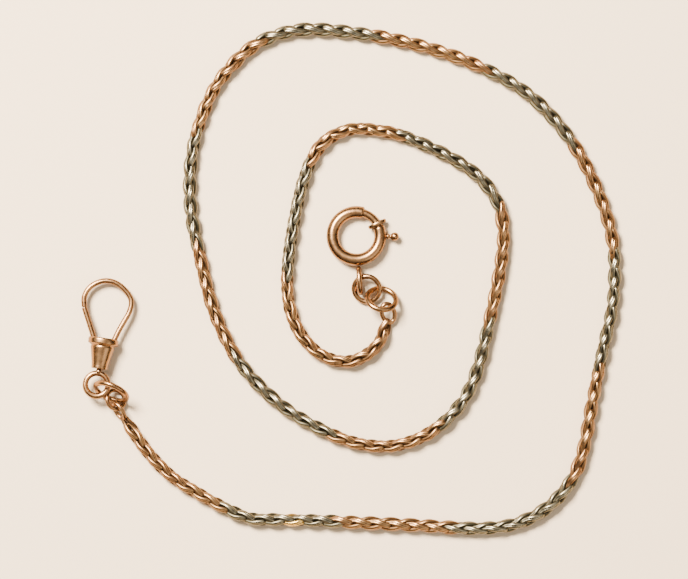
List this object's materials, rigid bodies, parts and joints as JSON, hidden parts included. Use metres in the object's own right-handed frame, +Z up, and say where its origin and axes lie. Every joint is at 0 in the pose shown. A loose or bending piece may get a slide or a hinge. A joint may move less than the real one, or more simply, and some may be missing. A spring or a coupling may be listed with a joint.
{
  "type": "pocket watch chain",
  "caption": "Two-colour woven pocket watch chain with a swivel dog clip at one end and a spring bolt ring at the other, lying in an open spiral.",
  "frame": {"origin": "centre of the whole object's footprint, on the table that the chain lies on", "axes": "+Z up from the table; +X to the right and +Y to the top of the spiral as it is looked down on, with the dog clip at -X and the bolt ring near the middle"},
  "size_m": [0.082, 0.0778, 0.0055],
  "materials": {
    "rose_gold": "polished rose gold, worn soft, with darker tarnish in the recesses",
    "white_gold": "warm grey white gold, polished, with dark tarnish between the links",
    "spring_steel": "plain spring steel, hidden inside the fittings"
  },
  "bodies": {
    "chain_01": {"chain_01_rose_gold": "rose_gold", "end_link_clip_side": "rose_gold"},
    "chain_02": {"chain_02_white_gold": "white_gold"},
    "chain_03": {"chain_03_rose_gold": "rose_gold"},
    "chain_04": {"chain_04_white_gold": "white_gold"},
    "chain_05": {"chain_05_rose_gold": "rose_gold"},
    "chain_06": {"chain_06_white_gold": "white_gold"},
    "chain_07": {"chain_07_rose_gold": "rose_gold"},
    "chain_08": {"chain_08_white_gold": "white_gold"},
    "chain_09": {"chain_09_rose_gold": "rose_gold"},
    "chain_10": {"chain_10_white_gold": "white_gold"},
    "chain_11": {"chain_11_rose_gold": "rose_gold"},
    "chain_12": {"chain_12_white_gold": "white_gold"},
    "chain_13": {"chain_13_rose_gold": "rose_gold"},
    "chain_14": {"chain_14_white_gold": "white_gold"},
    "chain_15": {"chain_15_rose_gold": "rose_gold"},
    "chain_16": {"chain_16_white_gold": "white_gold"},
    "chain_17": {"chain_17_rose_gold": "rose_gold"},
    "chain_18": {"chain_18_white_gold": "white_gold"},
    "chain_19": {"chain_19_rose_gold": "rose_gold"},
    "chain_20": {"chain_20_white_gold": "white_gold"},
    "chain_21": {"chain_21_rose_gold": "rose_gold", "end_link_bolt_side": "rose_gold"},
    "jump_ring_oval": {"jump_ring_oval": "rose_gold"},
    "jump_ring_round": {"jump_ring_round": "rose_gold"},
    "bolt_ring": {"bolt_ring_tube": "rose_gold", "bolt_ring_collar": "rose_gold", "bolt_spring": "spring_steel", "bolt_ring_tail_eye": "rose_gold"},
    "bolt": {"bolt": "rose_gold", "bolt_trigger": "rose_gold"},
    "small_ring": {"swivel_jump_ring_small": "rose_gold"},
    "large_ring": {"swivel_jump_ring_large": "rose_gold"},
    "swivel": {"swivel_eye": "rose_gold", "swivel_rivet_head": "rose_gold"},
    "clip": {"swivel_barrel": "rose_gold", "swivel_cap": "rose_gold", "gate_pin": "rose_gold", "clip_hook": "rose_gold", "gate_spring": "spring_steel"},
    "gate": {"clip_gate": "rose_gold"}
  },
  "joints": [
    {"name": "link_01_turn", "type": "hinge", "parent": "chain_02", "child": "chain_01", "pos_m": [-0.01956, -0.03461, 0.00105], "axis": [0, 0, 1], "range_deg": [-10, 10]},
    {"name": "link_02_lift", "type": "hinge", "parent": "chain_03", "child": "chain_02", "pos_m": [-0.00231, -0.03682, 0.00105], "axis": [0.0478, 0.9989, 0], "range_deg": [-10, 10]},
    {"name": "link_03_turn", "type": "hinge", "parent": "chain_04", "child": "chain_03", "pos_m": [0.0153, -0.03772, 0.00105], "axis": [0, 0, -1], "range_deg": [-10, 10]},
    {"name": "link_04_lift", "type": "hinge", "parent": "chain_05", "child": "chain_04", "pos_m": [0.03329, -0.03057, 0.00105], "axis": [0.8556, -0.5177, 0], "range_deg": [-10, 10]},
    {"name": "link_05_turn", "type": "hinge", "parent": "chain_06", "child": "chain_05", "pos_m": [0.03756, -0.01356, 0.00105], "axis": [0, 0, 1], "range_deg": [-12, 12]},
    {"name": "link_06_lift", "type": "hinge", "parent": "chain_07", "child": "chain_06", "pos_m": [0.03983, 0.00384, 0.00105], "axis": [-0.9965, -0.0839, 0], "range_deg": [-12, 12]},
    {"name": "link_07_turn", "type": "hinge", "parent": "chain_08", "child": "chain_07", "pos_m": [0.03377, 0.02023, 0.00105], "axis": [0, 0, -1], "range_deg": [-12, 12]},
    {"name": "link_08_lift", "type": "hinge", "parent": "chain_09", "child": "chain_08", "pos_m": [0.02068, 0.03165, 0.00105], "axis": [0.429, 0.9033, 0], "range_deg": [-12, 12]},
    {"name": "link_09_turn", "type": "hinge", "parent": "chain_10", "child": "chain_09", "pos_m": [0.00389, 0.03685, 0.00105], "axis": [0, 0, 1], "range_deg": [-12, 12]},
    {"name": "link_10_lift", "type": "hinge", "parent": "chain_11", "child": "chain_10", "pos_m": [-0.01341, 0.0362, 0.00105], "axis": [0.4419, -0.8971, 0], "range_deg": [-12, 12]},
    {"name": "link_11_turn", "type": "hinge", "parent": "chain_11", "child": "chain_12", "pos_m": [-0.0235, 0.02235, 0.00105], "axis": [0, 0, -1], "range_deg": [-12, 12]},
    {"name": "link_12_lift", "type": "hinge", "parent": "chain_12", "child": "chain_13", "pos_m": [-0.02337, 0.00493, 0.00105], "axis": [-0.9744, -0.2247, 0], "range_deg": [-12, 12]},
    {"name": "link_13_turn", "type": "hinge", "parent": "chain_13", "child": "chain_14", "pos_m": [-0.01765, -0.01164, 0.00105], "axis": [0, 0, 1], "range_deg": [-12, 12]},
    {"name": "link_14_lift", "type": "hinge", "parent": "chain_14", "child": "chain_15", "pos_m": [-0.0031, -0.02357, 0.00105], "axis": [0.4068, 0.9135, 0], "range_deg": [-12, 12]},
    {"name": "link_15_turn", "type": "hinge", "parent": "chain_15", "child": "chain_16", "pos_m": [0.01349, -0.02217, 0.00105], "axis": [0, 0, -1], "range_deg": [-12, 12]},
    {"name": "link_16_lift", "type": "hinge", "parent": "chain_16", "child": "chain_17", "pos_m": [0.02086, -0.0066, 0.00105], "axis": [0.976, -0.2179, 0], "range_deg": [-12, 12]},
    {"name": "link_17_turn", "type": "hinge", "parent": "chain_17", "child": "chain_18", "pos_m": [0.02246, 0.01077, 0.00105], "axis": [0, 0, 1], "range_deg": [-12, 12]},
    {"name": "link_18_lift", "type": "hinge", "parent": "chain_18", "child": "chain_19", "pos_m": [0.00759, 0.02177, 0.00105], "axis": [-0.3034, -0.9529, 0], "range_deg": [-12, 12]},
    {"name": "link_19_turn", "type": "hinge", "parent": "chain_19", "child": "chain_20", "pos_m": [-0.00629, 0.01765, 0.00105], "axis": [0, 0, -1], "range_deg": [-12, 12]},
    {"name": "link_20_lift", "type": "hinge", "parent": "chain_20", "child": "chain_21", "pos_m": [-0.00978, 0.00045, 0.00105], "axis": [-0.9994, 0.0349, 0], "range_deg": [-12, 12]},
    {"name": "bolt_side_oval_ring_swing", "type": "hinge", "parent": "chain_21", "child": "jump_ring_oval", "pos_m": [0.00596, -0.00405, 0.00168], "axis": [-0.6621, 0.626, 0.412], "range_deg": [-20, 20]},
    {"name": "bolt_side_round_ring_swing", "type": "hinge", "parent": "jump_ring_oval", "child": "jump_ring_round", "pos_m": [0.00402, -0.00145, 0.00055], "axis": [-0.9605, -0.0822, 0.2658], "range_deg": [-20, 20]},
    {"name": "bolt_ring_swing", "type": "hinge", "parent": "jump_ring_round", "child": "bolt_ring", "pos_m": [0.00039, -0.00188, 0.00085], "axis": [0.2135, -0.9545, -0.2083], "range_deg": [-11, 5]},
    {"name": "bolt_pull", "type": "hinge", "parent": "bolt_ring", "child": "bolt", "pos_m": [0.00075, 0.00653, 0.00116], "axis": [0.0039, -0.0609, -0.9981], "range_deg": [0, 50], "stiffness_Nm_per_rad": 0.00002, "springref_deg": -17.19, "deforming": ["bolt_spring"]},
    {"name": "clip_side_small_ring_swing", "type": "hinge", "parent": "chain_01", "child": "small_ring", "pos_m": [-0.03609, -0.01953, 0.00089], "axis": [0.2315, -0.8791, -0.4166], "range_deg": [-10, 11]},
    {"name": "clip_side_large_ring_swing", "type": "hinge", "parent": "small_ring", "child": "large_ring", "pos_m": [-0.03457, -0.01887, 0.00057], "axis": [0.2336, 0.8938, -0.3828], "range_deg": [-2, 8]},
    {"name": "clip_eye_swing", "type": "hinge", "parent": "large_ring", "child": "swivel", "pos_m": [-0.03874, -0.01665, 0.00191], "axis": [0.2327, -0.5135, -0.8259], "range_deg": [-17, 17]},
    {"name": "clip_swivel", "type": "hinge", "parent": "swivel", "child": "clip", "pos_m": [-0.03755, -0.00898, 0.00184], "axis": [0.1474, 0.9866, -0.0698], "continuous": true},
    {"name": "clip_gate", "type": "hinge", "parent": "clip", "child": "gate", "pos_m": [-0.039, -0.00909, 0.00186], "axis": [-0.0103, -0.069, -0.9976], "range_deg": [0, 25], "stiffness_Nm_per_rad": 0.0001, "springref_deg": -11.46, "deforming": ["gate_spring"]}
  ]
}
